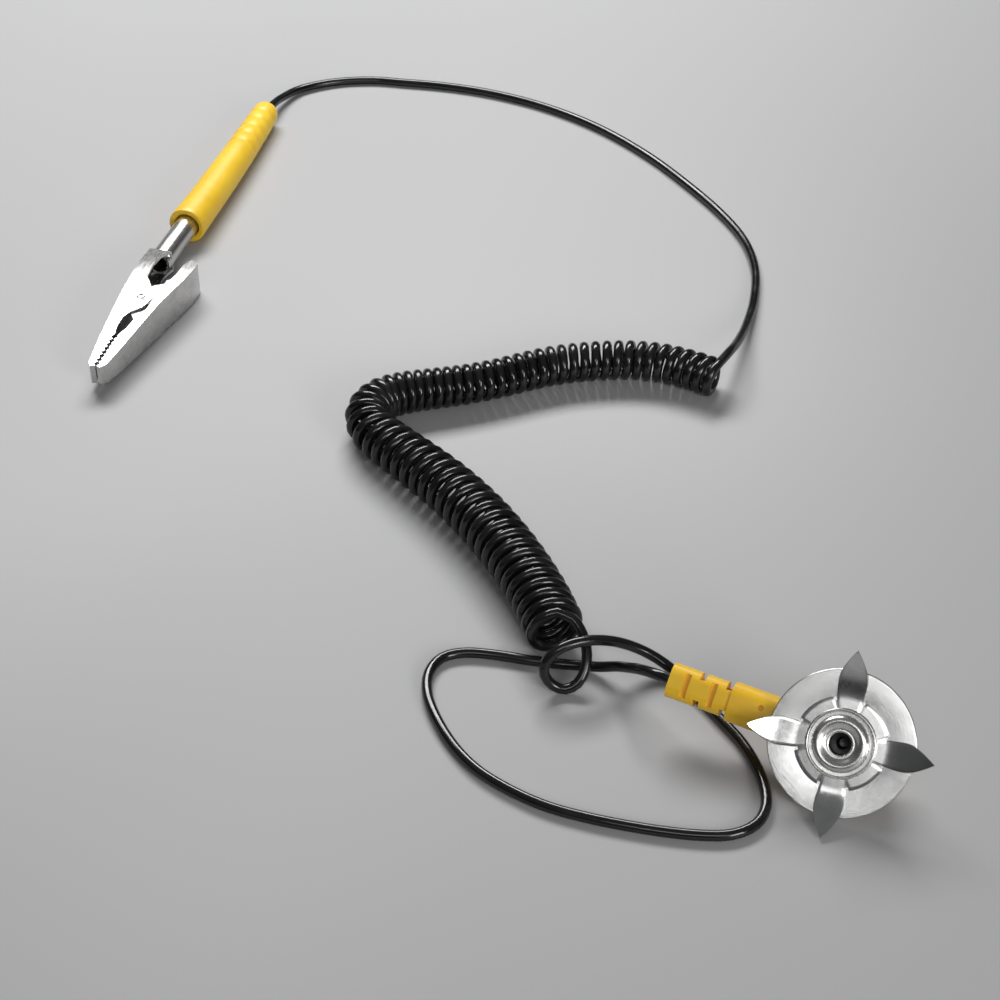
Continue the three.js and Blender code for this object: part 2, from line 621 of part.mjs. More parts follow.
const toLayout = (group, [x, y, z]) => {
  group.updateWorldMatrix(true, false);
  const point = new THREE.Vector3(x, y, z).applyMatrix4(group.matrixWorld);
  return layout.worldToLocal(point).toArray();
};

// The lead inside the boot, from the barrel to the boot's end.
const bootPoint = (x, side, drop) => toLayout(clip, [x, BARREL_Y + side, drop]);
const clipLead = smoothCurve([
  bootPoint(-46, 0, -0.05), bootPoint(-60, BOOT_SIDE_BEND * 0.14, -0.41),
  bootPoint(-80, BOOT_SIDE_BEND * 0.5, -0.78), bootPoint(-98, BOOT_SIDE_BEND, BOOT_DROP),
  ...clipLeadRoute,
]);
const headLead = smoothCurve([
  ...headLeadRoute, toLayout(head, [-36.5, 0, 0]), toLayout(head, [-34, 0, 0]),
  toLayout(head, [-29, 0, 0]), toLayout(head, [-24.5, 0, 0]),
]);

place(layout, 'clip_lead', tube(clipLead, wireRadius, 8, 72), blackVinyl);
place(layout, 'curly_cord', coilGeometry(12, 44), blackVinyl);
place(layout, 'head_lead', tube(headLead, wireRadius, 8, 80), blackVinyl);

export default part;
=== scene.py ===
"""Grounding cord of a wrist strap: crocodile clip and boot, curly cord, snap head and clawed stud disc.

Pieces on the clip and on the head are modelled in millimetres, in the clip's and the head's own
frames, and are then settled into their places on the object, in metres.
"""
import json
import math

import bmesh
import bpy
from mathutils import Matrix, Vector


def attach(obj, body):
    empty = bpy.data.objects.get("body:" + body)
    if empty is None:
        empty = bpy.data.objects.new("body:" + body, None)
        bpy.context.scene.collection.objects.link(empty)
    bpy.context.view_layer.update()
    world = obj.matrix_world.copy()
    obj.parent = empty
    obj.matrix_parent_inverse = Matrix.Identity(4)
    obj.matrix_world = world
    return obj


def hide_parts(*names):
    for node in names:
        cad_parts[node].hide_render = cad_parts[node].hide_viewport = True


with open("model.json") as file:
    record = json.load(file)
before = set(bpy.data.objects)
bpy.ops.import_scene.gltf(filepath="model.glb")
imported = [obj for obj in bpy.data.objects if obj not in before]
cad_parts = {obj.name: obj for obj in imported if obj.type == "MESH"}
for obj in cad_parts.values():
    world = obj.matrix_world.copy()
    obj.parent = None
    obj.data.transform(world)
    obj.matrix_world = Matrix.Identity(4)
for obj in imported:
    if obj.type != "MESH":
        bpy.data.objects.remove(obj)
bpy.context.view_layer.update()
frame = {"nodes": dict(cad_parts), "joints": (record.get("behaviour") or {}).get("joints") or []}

# ---------------------------------------------------------------- driving values, in millimetres
MM = 0.001
WIRE_RADIUS = 1.05
COIL_START_RADIUS = 4.6
COIL_END_RADIUS = 6.05
COIL_GROWTH = (0.3, 0.8)
COIL_TURNS = 60
COIL_PITCH = [(0, 2.55), (0.3, 2.5), (0.38, 2.15), (0.46, 2.15), (0.54, 3.2), (0.8, 3.3), (1, 3.0)]
TURN_STEPS = 24
LEAD_STEP = 1.6
LAYOUT_CENTRE = Vector((-7.73, 32.07, 0.0))

CLIP_HEADING = math.radians(-106.1)
BARREL_Y = -4.2
CLIP_HALF_WIDTH = 4.2
RIVET_RADIUS = 0.85
SPRING_RADIUS = 1.75
SPRING_TURNS = 4
SPRING_PITCH = 0.95
SPRING_WIRE_RADIUS = 0.4
SPRING_TURN_STEPS = 12
SPRING_LINE_STEP = 0.4
BOOT_MOUTH_X = -37.0
BOOT_LENGTH = 61.0
BOOT_SIDE_BEND = -1.8
BOOT_DROP = -0.95
BOOT_RINGS = 5
BOOT_RING_START = 36
BOOT_RING_PITCH = 4.2

HEAD_ROLL = math.radians(-5.9)
RELIEF_END_X = -34.0
RESISTOR_ENDS = (-17.2, -10.6)
# Where the painted shade in the snap's bore lies, in the head's frame: its radii, its top and its foot.
BORE_SHADE_RADIUS = (2.12, 2.04)
BORE_SHADE_TOP = (6.6, 6.2)
BORE_SHADE_FOOT = (0.6, 0.7)
PLATE_HOLE_RADIUS = 2.75
DISC_RADIUS = 13.55
DISC_BACK = 4.35
DISC_FRONT = 4.8
DISC_DISH = 0.42
DISC_BEND_RADIUS = 8.7
CLAW_PLATE_MIDDLE = 5.225
CLAW_PLATE_THICKNESS = 0.35
CLAW_PLATE_SIDES = 88
CLAW_HALF_SIDES = 4
CLAW_RING_RADIUS = 8.6
CLAW_TIP_RADIUS = 17.1
CLAW_RISE = 3.3
CLAW_PHASE = math.radians(7.4)

joints = {joint["name"]: joint for joint in frame["joints"]}
clip_pivot = Vector(joints["jaw_pivot"]["pos_m"])
head_centre = Vector(joints["disc_swivel"]["pos_m"])
snap_axis = Vector(joints["disc_swivel"]["axis"]).normalized()

to_metres = Matrix.Scale(MM, 4)
LAYOUT = to_metres @ Matrix.Translation(-LAYOUT_CENTRE)
CLIP = Matrix.Translation(clip_pivot) @ Matrix.Rotation(CLIP_HEADING, 4, "Z") @ to_metres
level = Vector((0, 0, 1)).cross(snap_axis).normalized()
head_x = Matrix.Rotation(HEAD_ROLL, 3, snap_axis) @ level
head_turn = Matrix((head_x, snap_axis.cross(head_x), snap_axis)).transposed()
HEAD = Matrix.Translation(head_centre) @ head_turn.to_4x4() @ to_metres


# ---------------------------------------------------------------- camera, its places in metres
CAMERA_PLACE = Vector((0.00773, -0.40094, 0.30085))
CAMERA_AIM = Vector((0.00773, -0.03207, 0.0))
CAMERA_LENS = 80.64
SENSOR_WIDTH = 36


def make_camera():
    camera = bpy.data.objects.new("bench_camera", bpy.data.cameras.new("bench_camera"))
    bpy.context.scene.collection.objects.link(camera)
    camera.data.lens = CAMERA_LENS
    camera.data.sensor_width = SENSOR_WIDTH
    camera.location = CAMERA_PLACE
    camera.rotation_euler = (CAMERA_AIM - CAMERA_PLACE).to_track_quat("-Z", "Y").to_euler()
    bpy.context.scene.camera = camera


# ---------------------------------------------------------------- working by hand
def only(piece):
    bpy.ops.object.select_all(action="DESELECT")
    piece.select_set(True)
    bpy.context.view_layer.objects.active = piece


def edit(piece, part="VERT"):
    only(piece)
    bpy.ops.object.mode_set(mode="EDIT")
    bpy.ops.mesh.select_mode(type=part)


def leave():
    bpy.ops.object.mode_set(mode="OBJECT")


def choose(piece, kind, test):
    """Selects the vertices, edges or faces, in edit mode, whose middle passes the test."""
    bpy.ops.mesh.select_all(action="DESELECT")
    shape = bmesh.from_edit_mesh(piece.data)
    for item in getattr(shape, kind):
        corners = [item.co] if kind == "verts" else [vertex.co for vertex in item.verts]
        if test(sum(corners, Vector()) / len(corners)):
            item.select_set(True)
    shape.select_flush_mode()
    bmesh.update_edit_mesh(piece.data)


def grow_edges(move, spread, centre):
    """Extrudes the selected edges by a move, then scales the new ones about a centre."""
    bpy.ops.mesh.extrude_edges_move(TRANSFORM_OT_translate={"value": move})
    bpy.ops.transform.resize(value=spread, center_override=centre)


def modify(piece, kind, **settings):
    """Adds a modifier and applies it."""
    only(piece)
    modifier = piece.modifiers.new(kind.lower(), kind)
    for name, value in settings.items():
        setattr(modifier, name, value)
    bpy.ops.object.modifier_apply(modifier=modifier.name)


def mend(piece):
    """Merges doubles and turns every face outwards."""
    edit(piece)
    bpy.ops.mesh.select_all(action="SELECT")
    bpy.ops.mesh.remove_doubles(threshold=1e-5)
    bpy.ops.mesh.normals_make_consistent(inside=False)
    leave()


def smooth(piece, angle=35):
    only(piece)
    bpy.ops.object.shade_smooth_by_angle(angle=math.radians(angle))


def arc(centre_radius, centre_height, radius, start, end, steps):
    """Points of a profile's arc, angles in degrees from the outward direction."""
    points = []
    for i in range(steps + 1):
        angle = math.radians(start + (end - start) * i / steps)
        points.append((centre_radius + radius * math.cos(angle),
                       centre_height + radius * math.sin(angle)))
    return points


def turned(name, profile, sides=96):
    """A turned piece about z, drawn out ring by ring along its closed (radius, height) profile."""
    radius, height = profile[0]
    bpy.ops.object.select_all(action="DESELECT")
    bpy.ops.mesh.primitive_circle_add(vertices=sides, radius=radius, location=(0, 0, height))
    piece = bpy.context.object
    piece.name = name
    bpy.ops.object.transform_apply(location=True)
    edit(piece)
    bpy.ops.mesh.select_all(action="SELECT")
    for next_radius, next_height in profile[1:]:
        growth = next_radius / radius
        grow_edges((0, 0, next_height - height), (growth, growth, 1), (0, 0, next_height))
        radius, height = next_radius, next_height
    bpy.ops.mesh.select_all(action="DESELECT")
    bpy.ops.mesh.select_non_manifold()
    bpy.ops.mesh.bridge_edge_loops()
    leave()
    mend(piece)
    smooth(piece)
    return piece


def settle(piece, own_frame):
    """Takes a piece from its own millimetre frame to its place on the object."""
    piece.data.transform(own_frame)
    piece.data.update()


def refined(name, node, radius, segments=3):
    """A copy of a frame node, its facets joined into plain faces and its edges rounded."""
    piece = bpy.data.objects.new(name, frame["nodes"][node].data.copy())
    bpy.context.scene.collection.objects.link(piece)
    piece.data.materials.clear()
    edit(piece)
    bpy.ops.mesh.select_all(action="SELECT")
    bpy.ops.mesh.remove_doubles(threshold=1e-6)
    bpy.ops.mesh.dissolve_limited(angle_limit=math.radians(1))
    leave()
    modify(piece, "BEVEL", width=radius * MM, segments=segments, limit_method="ANGLE",
           angle_limit=math.radians(32), use_clamp_overlap=True)
    modify(piece, "TRIANGULATE", keep_custom_normals=False)
    smooth(piece, 30)
    modify(piece, "WEIGHTED_NORMAL", keep_sharp=True, weight=80)
    return piece


# ---------------------------------------------------------------- finishes
def finish(name, colour, roughness, metallic=0.0, **uniform):
    """A new finish. Uniform values sit on the shader's own sockets."""
    material = bpy.data.materials.new(name)
    material.use_nodes = True
    shader = material.node_tree.nodes["Principled BSDF"]
    shader.inputs["Base Color"].default_value = (*colour, 1)
    shader.inputs["Roughness"].default_value = roughness
    shader.inputs["Metallic"].default_value = metallic
    for socket, value in uniform.items():
        shader.inputs[socket.replace("_", " ")].default_value = value
    return material


def place_on(material, own_frame=None, stretch=(1, 1, 1)):
    """Object coordinates, in metres, or in a piece's own frame in millimetres."""
    nodes, links = material.node_tree.nodes, material.node_tree.links
    coordinates = nodes.new("ShaderNodeTexCoord")
    mapping = nodes.new("ShaderNodeMapping")
    links.new(coordinates.outputs["Object"], mapping.inputs["Vector"])
    mapping.inputs["Scale"].default_value = stretch
    if own_frame is not None:
        place, turn, size = own_frame.decompose()
        mapping.vector_type = "TEXTURE"
        mapping.inputs["Location"].default_value = place
        mapping.inputs["Rotation"].default_value = turn.to_euler()
        mapping.inputs["Scale"].default_value = [s / k for s, k in zip(size, stretch)]
    return mapping.outputs["Vector"]


def grain(material, where, scale, detail=4, roughness=0.55):
    nodes, links = material.node_tree.nodes, material.node_tree.links
    noise = nodes.new("ShaderNodeTexNoise")
    noise.inputs["Scale"].default_value = scale
    noise.inputs["Detail"].default_value = detail
    noise.inputs["Roughness"].default_value = roughness
    links.new(where, noise.inputs["Vector"])
    return noise.outputs["Fac"]


def vary(material, pattern, socket, low, high, start=0.35, end=0.65):
    """Lets a pattern drive a shader socket between two values or two colours."""
    nodes, links = material.node_tree.nodes, material.node_tree.links
    ramp = nodes.new("ShaderNodeValToRGB")
    ramp.color_ramp.elements[0].position = start
    ramp.color_ramp.elements[1].position = end
    as_colour = (lambda v: (*v, 1)) if isinstance(low, tuple) else (lambda v: (v, v, v, 1))
    ramp.color_ramp.elements[0].color = as_colour(low)
    ramp.color_ramp.elements[1].color = as_colour(high)
    links.new(pattern, ramp.inputs["Fac"])
    links.new(ramp.outputs["Color"], nodes["Principled BSDF"].inputs[socket])


def emboss(material, *patterns):
    """Stacks bumps, each given as (pattern, strength, height in millimetres)."""
    nodes, links = material.node_tree.nodes, material.node_tree.links
    below = None
    for pattern, strength, height in patterns:
        bump = nodes.new("ShaderNodeBump")
        bump.inputs["Strength"].default_value = strength
        bump.inputs["Distance"].default_value = height * MM
        links.new(pattern, bump.inputs["Height"])
        if below is not None:
            links.new(below, bump.inputs["Normal"])
        below = bump.outputs["Normal"]
    links.new(below, nodes["Principled BSDF"].inputs["Normal"])


def cord_vinyl():
    material = finish("cord_vinyl", (0.008, 0.008, 0.009), 0.2, IOR=1.54)
    where = place_on(material)
    vary(material, grain(material, where, 260), "Roughness", 0.13, 0.27)
    vary(material, grain(material, where, 90), "Base Color",
         (0.005, 0.005, 0.006), (0.013, 0.013, 0.014))
    emboss(material, (grain(material, where, 900, 3), 0.25, 0.05),
           (grain(material, where, 5200, 2), 0.2, 0.012))
    return material


def moulded_vinyl(name, deep, pale, gloss):
    material = finish(name, pale, gloss, IOR=1.52, Subsurface_Weight=0.12, Subsurface_Scale=0.0015)
    where = place_on(material)
    vary(material, grain(material, where, 120), "Base Color", deep, pale, 0.3, 0.7)
    vary(material, grain(material, where, 700), "Roughness", gloss - 0.07, gloss + 0.09)
    emboss(material, (grain(material, where, 420, 2), 0.3, 0.12),
           (grain(material, where, 6500, 3), 0.35, 0.02))
    return material


def plated_steel(name, colour, low, high, own_frame, stretch, ripple=0.35):
    """Bright plating with faint rubbed streaks and a soft ripple."""
    material = finish(name, colour, low, 1.0)
    where = place_on(material)
    along = place_on(material, own_frame, stretch)
    vary(material, grain(material, along, 1.4, 5), "Roughness", low, high, 0.3, 0.75)
    dull = tuple(0.86 * c for c in colour)
    vary(material, grain(material, where, 320, 5), "Base Color", dull, colour, 0.3, 0.6)
    emboss(material, (grain(material, where, 240, 2), ripple, 0.1),
           (grain(material, along, 2.2, 4), 0.3 * ripple, 0.02))
    return material


def head_place(material):
    """A point's x, y and z in the head's frame, in millimetres; z runs along the snap's axis."""
    nodes, links = material.node_tree.nodes, material.node_tree.links
    split = nodes.new("ShaderNodeSeparateXYZ")
    links.new(place_on(material, HEAD), split.inputs["Vector"])
    return split.outputs["X"], split.outputs["Y"], split.outputs["Z"]


def from_axis(material, x, y):
    """The distance from the snap's axis."""
    nodes, links = material.node_tree.nodes, material.node_tree.links
    flat = nodes.new("ShaderNodeCombineXYZ")
    links.new(x, flat.inputs["X"])
    links.new(y, flat.inputs["Y"])
    distance = nodes.new("ShaderNodeVectorMath")
    distance.operation = "LENGTH"
    links.new(flat.outputs["Vector"], distance.inputs[0])
    return distance.outputs["Value"]


def calculate(material, operation, first, second):
    """A maths node on a pattern and a second pattern or a plain number."""
    node = material.node_tree.nodes.new("ShaderNodeMath")
    node.operation = operation
    material.node_tree.links.new(first, node.inputs[0])
    if isinstance(second, float):
        node.inputs[1].default_value = second
    else:
        material.node_tree.links.new(second, node.inputs[1])
    return node.outputs["Value"]


def between(material, pattern, start, end):
    """Runs from 0 where the pattern is at the start to 1 where it is at the end."""
    spread = material.node_tree.nodes.new("ShaderNodeMapRange")
    spread.inputs["From Min"].default_value = start
    spread.inputs["From Max"].default_value = end
    material.node_tree.links.new(pattern, spread.inputs["Value"])
    return spread.outputs["Result"]


def ring_brushed_steel(name, colour, low, high):
    """Steel turned on a lathe: fine rings about the snap's axis, wandering a little as they go round."""
    material = finish(name, colour, low, 1.0)
    nodes, links = material.node_tree.nodes, material.node_tree.links
    x, y, _ = head_place(material)
    rings = nodes.new("ShaderNodeCombineXYZ")
    links.new(from_axis(material, x, y), rings.inputs["X"])
    wander = calculate(material, "MULTIPLY", calculate(material, "ARCTAN2", y, x), 0.35)
    links.new(wander, rings.inputs["Y"])
    lines = grain(material, rings.outputs["Vector"], 9, 6, 0.7)
    cloud = grain(material, place_on(material), 150, 4)
    vary(material, lines, "Roughness", low, high, 0.3, 0.7)
    vary(material, cloud, "Base Color", tuple(0.88 * c for c in colour), colour)
    emboss(material, (lines, 0.5, 0.035))
    return material


def paint_bore_shade(material):
    """Painted shade round the snap's axis, below the eyelet's inner lip: the base colour is mixed towards
    near black in the bore and on the stud's neck, to stand in for the shade in that hollow.
    """
    nodes, links = material.node_tree.nodes, material.node_tree.links
    x, y, z = head_place(material)
    near = between(material, from_axis(material, x, y), *BORE_SHADE_RADIUS)
    below = between(material, z, *BORE_SHADE_TOP)
    above = between(material, z, *BORE_SHADE_FOOT)
    bore = calculate(material, "MULTIPLY", calculate(material, "MULTIPLY", near, below), above)
    shade = nodes.new("ShaderNodeMix")
    shade.data_type = "RGBA"
    shader = nodes["Principled BSDF"]
    links.new(bore, shade.inputs["Factor"])
    # The node has a set of sockets for each kind of data: 6 and 7 are the colours mixed, 2 the result.
    links.new(shader.inputs["Base Color"].links[0].from_socket, shade.inputs[6])
    # The painted shade's colour, near black.
    shade.inputs[7].default_value = (0.03, 0.03, 0.03, 1)
    links.new(shade.outputs[2], shader.inputs["Base Color"])


def wire_metal(name, colour, roughness):
    material = finish(name, colour, roughness, 1.0)
    where = place_on(material)
    vary(material, grain(material, where, 1500), "Roughness", roughness - 0.08, roughness + 0.12)
    vary(material, grain(material, where, 500), "Base Color", tuple(0.8 * c for c in colour), colour)
    emboss(material, (grain(material, where, 3000, 3), 0.3, 0.015))
    return material


def resistor_lacquer():
    """Pale blue lacquer with plain colour bands round the resistor."""
    lacquer, brown = (0.2, 0.46, 0.58), (0.12, 0.04, 0.01)
    black, green = (0.01, 0.01, 0.01), (0.02, 0.2, 0.04)
    material = finish("resistor_lacquer_coat", lacquer, 0.3)
    nodes, links = material.node_tree.nodes, material.node_tree.links
    ramp = nodes.new("ShaderNodeValToRGB")
    stops = ramp.color_ramp.elements
    ramp.color_ramp.interpolation = "CONSTANT"
    stops[0].color = (*lacquer, 1)
    stops[1].position = 0.15
    stops[1].color = (*brown, 1)
    bands = [(0.22, lacquer), (0.36, black), (0.43, lacquer), (0.57, green), (0.64, lacquer)]
    for position, colour in bands:
        stops.new(position).color = (*colour, 1)
    x, _, _ = head_place(material)
    links.new(between(material, x, *RESISTOR_ENDS), ramp.inputs["Fac"])
    links.new(ramp.outputs["Color"], nodes["Principled BSDF"].inputs["Base Color"])
    emboss(material, (grain(material, place_on(material), 900, 3), 0.3, 0.03))
    return material


CORD_VINYL = cord_vinyl()
BOOT_VINYL = moulded_vinyl("boot_vinyl", (0.93, 0.56, 0.02), (1.0, 0.66, 0.04), 0.42)
HEAD_VINYL = moulded_vinyl("head_vinyl", (0.93, 0.54, 0.02), (1.0, 0.63, 0.035), 0.36)
CLIP_NICKEL = plated_steel("clip_nickel", (0.7, 0.69, 0.675), 0.24, 0.36, CLIP, (0.15, 2.5, 2.5), 0.2)
SNAP_NICKEL = plated_steel("snap_nickel", (0.8, 0.79, 0.77), 0.24, 0.36, HEAD, (1, 1, 1))
# Painted shade in the snap's bore, laid on the nickel finish.
paint_bore_shade(SNAP_NICKEL)
CLAW_STEEL = plated_steel("claw_steel", (0.74, 0.74, 0.73), 0.16, 0.26, HEAD, (1.2, 1.2, 1.2), 0.12)
DISC_STEEL = ring_brushed_steel("disc_steel", (0.76, 0.76, 0.75), 0.15, 0.25)
SPRING_STEEL = wire_metal("spring_wire_steel", (0.62, 0.62, 0.63), 0.24)
BARE_COPPER = wire_metal("bare_copper", (0.78, 0.34, 0.18), 0.3)
TINNED = wire_metal("tinned_plate", (0.66, 0.67, 0.68), 0.34)
LACQUER = resistor_lacquer()


def dress(piece, material):
    piece.data.materials.clear()
    piece.data.materials.append(material)


# ---------------------------------------------------------------- cord
COIL_PLAN = [
    (48.5, 37.5), (42.5, 41), (36, 43.5), (29, 44.5), (20.5, 44), (12.5, 42.5), (5.5, 40),
    (-0.5, 37.5), (-7.5, 35.2), (-14, 33.6), (-20.4, 32), (-26, 29.2), (-28.8, 24), (-27.6, 17.8),
    (-23.2, 11.8), (-17.4, 5), (-10.4, -3.6), (-3.2, -14.4), (3, -26), (7.8, -37.6), (11, -47.8),
]
LOW = WIRE_RADIUS
CLIP_LEAD_ROUTE = [
    (-60.6, 164.5, 3.3), (-58.8, 169.5, 2.3), (-54.7, 175.6, 1.4), (-48, 179.3, 1.15),
    (-41, 181, LOW), (-34, 181.2, LOW), (-27.5, 180.2, LOW), (-13.5, 177.6, LOW), (0, 173, LOW),
    (13.5, 165.6, LOW), (26.5, 155, LOW), (38.5, 141, LOW), (48.5, 125.5, LOW), (56, 111.5, LOW),
    (60.4, 99.5, LOW), (61.8, 87, 1.15), (60.4, 74, 1.4), (57.6, 62, 2.6), (54.4, 51, 5.2),
    (51.5, 43.2, 7.6),
]
HEAD_LEAD_ROUTE = [
    (14, -48.9, 10.3), (15.4, -50.4, 9.1), (16.3, -52.2, 7.7), (16.7, -54.4, 6.1),
    (16.3, -56.6, 4.1), (14.9, -58.3, 2.2), (12.5, -58.9, 1.2), (10.1, -58.7, 2.1),
    (8.5, -58.2, 4.4), (8.7, -57.6, 7.1), (10.7, -56.9, 9.3), (13.7, -55.9, 10.3),
    (17.6, -54.5, 9.9), (21.5, -52.9, 8.2), (25.1, -51.9, 6.1), (28.6, -51.9, 4.1),
    (31.8, -53.2, 2.6), (34.8, -56, 1.6), (38.2, -61, LOW), (41.4, -66.4, LOW), (45, -72.6, LOW),
    (47.2, -78.4, LOW), (48.4, -84, LOW), (48.2, -89.4, LOW), (46, -93.6, LOW), (41.6, -96, LOW),
    (35.8, -96.2, LOW), (28.7, -95.2, LOW), (21.6, -93.6, LOW), (15.3, -91.8, LOW),
    (8.9, -89.4, LOW), (2.7, -85.8, LOW), (-3.5, -80.8, LOW), (-8, -75, LOW), (-11.5, -68, LOW),
    (-13.8, -60.6, LOW), (-13.8, -54.4, LOW), (-11.4, -50, LOW), (-6.8, -48.5, LOW),
    (-0.6, -49.2, LOW), (5.4, -50.6, LOW), (11, -51.6, LOW), (15.6, -52.2, 1.1), (19.3, -53.6, 2.1),
    (22.4, -55.6, 4.1), (25, -59, 6.9), (27, -62.2, 9.4),
]


def smooth_line(points, step):
    """A smooth curve through the points, sampled about a step apart."""
    ends = [2 * points[0] - points[1], *points, 2 * points[-1] - points[-2]]
    line = []
    for before, start, end, after in zip(ends, ends[1:], ends[2:], ends[3:]):
        count = max(2, round((end - start).length / step))
        for i in range(count):
            t = i / count
            line.append(0.5 * (
                2 * start + (end - before) * t
                + (2 * before - 5 * start + 4 * end - after) * t * t
                + (3 * start - before - 3 * end + after) * t ** 3))
    return [*line, points[-1]]


def line_length(line):
    return sum((b - a).length for a, b in zip(line, line[1:]))


def coil_radius(share):
    """The coil's outer radius at a share of its length, growing smoothly towards the head."""
    start, end = COIL_GROWTH
    part = min(1, max(0, (share - start) / (end - start)))
    return COIL_START_RADIUS + (COIL_END_RADIUS - COIL_START_RADIUS) * part * part * (3 - 2 * part)


def coil_pitch(share):
    """The distance between turns at a share of the coil's length."""
    for (start, low), (end, high) in zip(COIL_PITCH, COIL_PITCH[1:]):
        if share <= end:
            return low + (high - low) * (share - start) / (end - start)
    return COIL_PITCH[-1][1]


def coil_line():
    """The wound wire: a left-handed helix round the coil's middle line, lying on the bench."""
    axis = smooth_line([Vector((x, y, 0)) for x, y in COIL_PLAN], 0.04)
    whole = line_length(axis)
    turns, travelled = [0.0], [0.0]
    for here, there in zip(axis, axis[1:]):
        travelled.append(travelled[-1] + (there - here).length)
        turns.append(turns[-1] + (there - here).length / coil_pitch(travelled[-1] / whole))
    up = Vector((0, 0, 1))
    line = []
    for i in range(1, len(axis)):
        turn = turns[i] * COIL_TURNS / turns[-1]
        if turn * TURN_STEPS < len(line) and i < len(axis) - 1:
            continue
        along = (axis[i] - axis[i - 1]).normalized()
        sideways = Vector((-along.y, along.x, 0))
        outer = coil_radius(travelled[i] / whole)
        angle = 2 * math.pi * turn
        reach = outer - WIRE_RADIUS
        line.append(axis[i] + outer * up + reach * (math.cos(angle) * up + math.sin(angle) * sideways))
    return line


def boot_middle(along):
    """A point of the boot's bent middle line, in the clip's frame."""
    share = along / BOOT_LENGTH
    return Vector((BOOT_MOUTH_X - along, BARREL_Y + BOOT_SIDE_BEND * share ** 2, BOOT_DROP * share))


def wire(name, line, radius, resolution):
    """A round wire along a line given in metres."""
    curve = bpy.data.curves.new(name, "CURVE")
    curve.dimensions = "3D"
    curve.bevel_depth = radius * MM
    curve.bevel_resolution = resolution
    curve.use_fill_caps = True
    spline = curve.splines.new("POLY")
    spline.points.add(len(line) - 1)
    for point, place in zip(spline.points, line):
        point.co = (*place, 1)
    spline.use_smooth = True
    piece = bpy.data.objects.new(name, curve)
    bpy.context.scene.collection.objects.link(piece)
    return piece


def make_cord():
    coil = [LAYOUT @ point for point in coil_line()]
    before = [CLIP @ boot_middle(BOOT_LENGTH - depth) for depth in (20, 10, 0)]
    before += [LAYOUT @ Vector(point) for point in CLIP_LEAD_ROUTE]
    after = [LAYOUT @ Vector(point) for point in HEAD_LEAD_ROUTE]
    after += [HEAD @ Vector((RELIEF_END_X + depth, 0, 0)) for depth in (-2.5, 0, 5, 9.5)]
    first_lead = smooth_line([*before, coil[0]], LEAD_STEP * MM)
    last_lead = smooth_line([coil[-1], *after], LEAD_STEP * MM)
    line = [*first_lead[:-1], *coil, *last_lead[1:]]

    piece = wire("cord", line, WIRE_RADIUS, 5)
    dress(piece, CORD_VINYL)
    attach(piece, "root")
    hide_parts("clip_lead", "curly_cord", "head_lead")


# ---------------------------------------------------------------- clip
def make_boot():
    bore = WIRE_RADIUS + 0.2
    outside = [(4.3, 0.0), (4.5, 0.15), (4.6, 0.5), (4.58, 2), (4.5, 6), (4.4, 10),
               (4.3, 17), (4.2, 25), (4.08, 32)]
    for i in range(BOOT_RINGS):
        start = BOOT_RING_START + BOOT_RING_PITCH * i
        wall = 4.02 - 0.025 * (start - BOOT_RING_START)
        outside += [(wall, start), (wall - 0.03, start + 1.6), (wall - 0.2, start + 2.1),
                    (wall - 0.22, start + 2.9), (wall - 0.06, start + 3.4)]
    outside += [(3.5, 57.2), (3.42, 58.4), (3.3, 59.3), (3.05, 60.2), (2.7, 60.75), (2.2, BOOT_LENGTH)]
    inside = [(bore + 0.1, BOOT_LENGTH), (bore, 60.6), (bore, 45), (bore, 30), (bore, 13), (3.1, 9.5),
              (3.05, 4), (3.05, 0.8), (3.2, 0.3), (3.6, 0.04)]
    piece = turned("rubber_boot", outside + inside, 72)
    for vertex in piece.data.vertices:
        across, up, along = vertex.co
        middle = boot_middle(along)
        vertex.co = (middle.x, middle.y - across, middle.z + up)
    mend(piece)
    smooth(piece, 50)
    settle(piece, CLIP)
    dress(piece, BOOT_VINYL)
    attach(piece, "root")
    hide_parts("clip_boot")


def make_jaws():
    for name, node, body in (("barrel_jaw", "fixed_jaw", "root"), ("thumb_jaw", "lever_jaw", "lever")):
        piece = refined(name, node, radius=0.16)
        dress(piece, CLIP_NICKEL)
        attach(piece, body)
        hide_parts(node)


def make_rivet():
    half = CLIP_HALF_WIDTH + 0.12
    top = [(RIVET_RADIUS, half - 0.22), (RIVET_RADIUS - 0.06, half - 0.06), (RIVET_RADIUS - 0.2, half),
           (0.45, half), (0.3, half - 0.14), (0.05, half - 0.16)]
    profile = [(r, -z) for r, z in reversed(top)] + top
    piece = turned("jaw_rivet", profile, 32)
    settle(piece, CLIP)
    dress(piece, CLIP_NICKEL)
    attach(piece, "root")
    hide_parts("pivot_rivet")


def make_spring():
    """The spring round the rivet: one long leg on the barrel jaw, one short leg by the lever."""
    half = (SPRING_TURNS + 0.5) * SPRING_PITCH / 2
    steps = SPRING_TURN_STEPS * SPRING_TURNS + SPRING_TURN_STEPS // 2
    points = [(-11, -4.7, -half), (-7, -3.4, -half), (-3.2, -2.2, -half)]
    for i in range(steps + 1):
        angle = 2 * math.pi * i / SPRING_TURN_STEPS - math.pi / 2
        height = half * (2 * i / steps - 1)
        points.append((SPRING_RADIUS * math.cos(angle), SPRING_RADIUS * math.sin(angle), height))
    points += [(-2.6, 2.2, half), (-4.6, 2.9, half)]
    line = smooth_line([CLIP @ Vector(point) for point in points], SPRING_LINE_STEP * MM)
    piece = wire("spring", line, SPRING_WIRE_RADIUS, 3)
    dress(piece, SPRING_STEEL)
    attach(piece, "root")
    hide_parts("torsion_spring")


# ---------------------------------------------------------------- snap head
def make_head():
    piece = refined("head_body", "head_shell", radius=0.42, segments=4)
    dress(piece, HEAD_VINYL)
    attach(piece, "root")
    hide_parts("head_shell")


def fit_on_snap(piece, node, material, body="disc"):
    settle(piece, HEAD)
    dress(piece, material)
    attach(piece, body)
    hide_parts(node)


